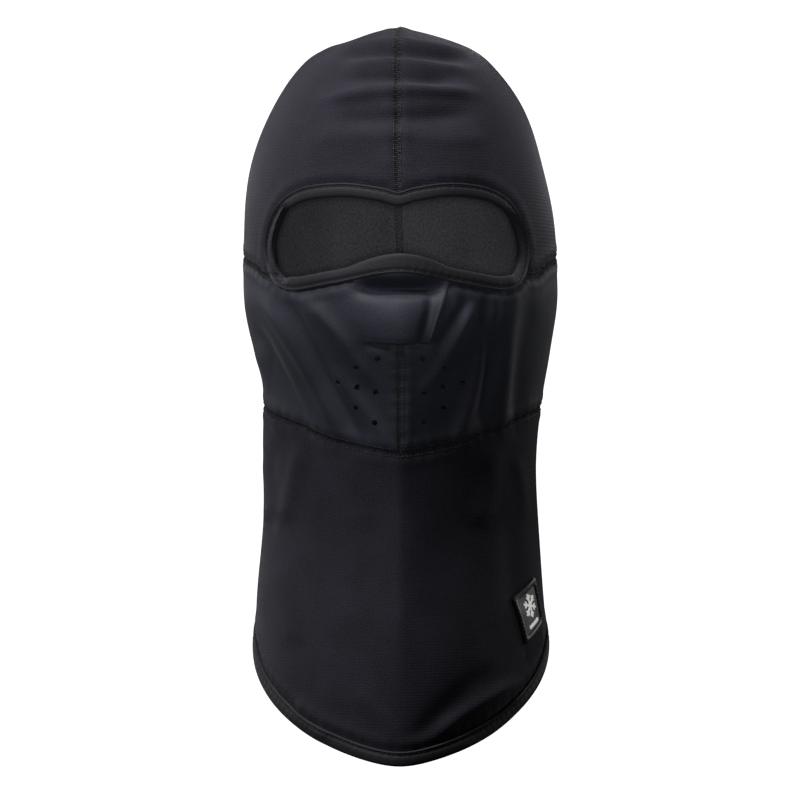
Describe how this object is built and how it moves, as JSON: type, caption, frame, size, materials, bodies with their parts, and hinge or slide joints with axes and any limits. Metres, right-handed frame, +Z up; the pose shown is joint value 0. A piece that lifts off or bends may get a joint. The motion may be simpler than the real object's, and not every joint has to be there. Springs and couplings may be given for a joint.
{
  "type": "balaclava",
  "caption": "Black ski balaclava with a bound eye opening, a windproof mask with a nose flap and vents, and a long shaped bib.",
  "frame": {"origin": "middle of the head space, at the level of the eyes", "axes": "+Z up out of the crown, -Y out of the face, +X to the wearer's left"},
  "size_m": [0.1676, 0.1988, 0.3883],
  "materials": {
    "fleece_black": "smooth-faced stretch fleece with fine upright wales",
    "softshell_black": "flat matte windproof stretch softshell, slightly blue",
    "mesh_black": "thin open knitted mesh",
    "binding_black": "folded elastic binding, smooth with a faint rib",
    "thread_black": "fine polyester thread in flat cover stitch",
    "patch_rubber": "soft moulded rubber, satin, with a raised frame",
    "emblem_white": "raised white moulded rubber",
    "label_satin": "blank woven satin tape"
  },
  "bodies": {
    "hood": {"crown_left": "fleece_black", "crown_right": "fleece_black", "bib": "fleece_black", "mask_left": "softshell_black", "mask_right": "softshell_black", "vent_mesh": "mesh_black", "eye_binding": "binding_black", "hem_binding": "binding_black", "eye_stitch": "thread_black", "hem_stitch": "thread_black", "crown_seam": "thread_black", "mask_seam": "thread_black", "chin_seam": "thread_black", "cheek_seam_left": "thread_black", "cheek_seam_right": "thread_black", "side_seam_left": "thread_black", "side_seam_right": "thread_black", "patch_base": "patch_rubber", "patch_frame": "patch_rubber", "patch_stitch": "thread_black", "patch_emblem": "emblem_white"},
    "flap": {"nose_flap": "softshell_black"},
    "label": {"care_label": "label_satin"}
  },
  "joints": [
    {"name": "nose_flap_lift", "type": "hinge", "parent": "hood", "child": "flap", "pos_m": [0, -0.0968, -0.0238], "axis": [-1, 0, 0], "range_deg": [0, 25]},
    {"name": "care_label_swing", "type": "hinge", "parent": "hood", "child": "label", "pos_m": [0.0657, 0.025, -0.165], "axis": [0, 0, -1], "range_deg": [0, 110]}
  ]
}
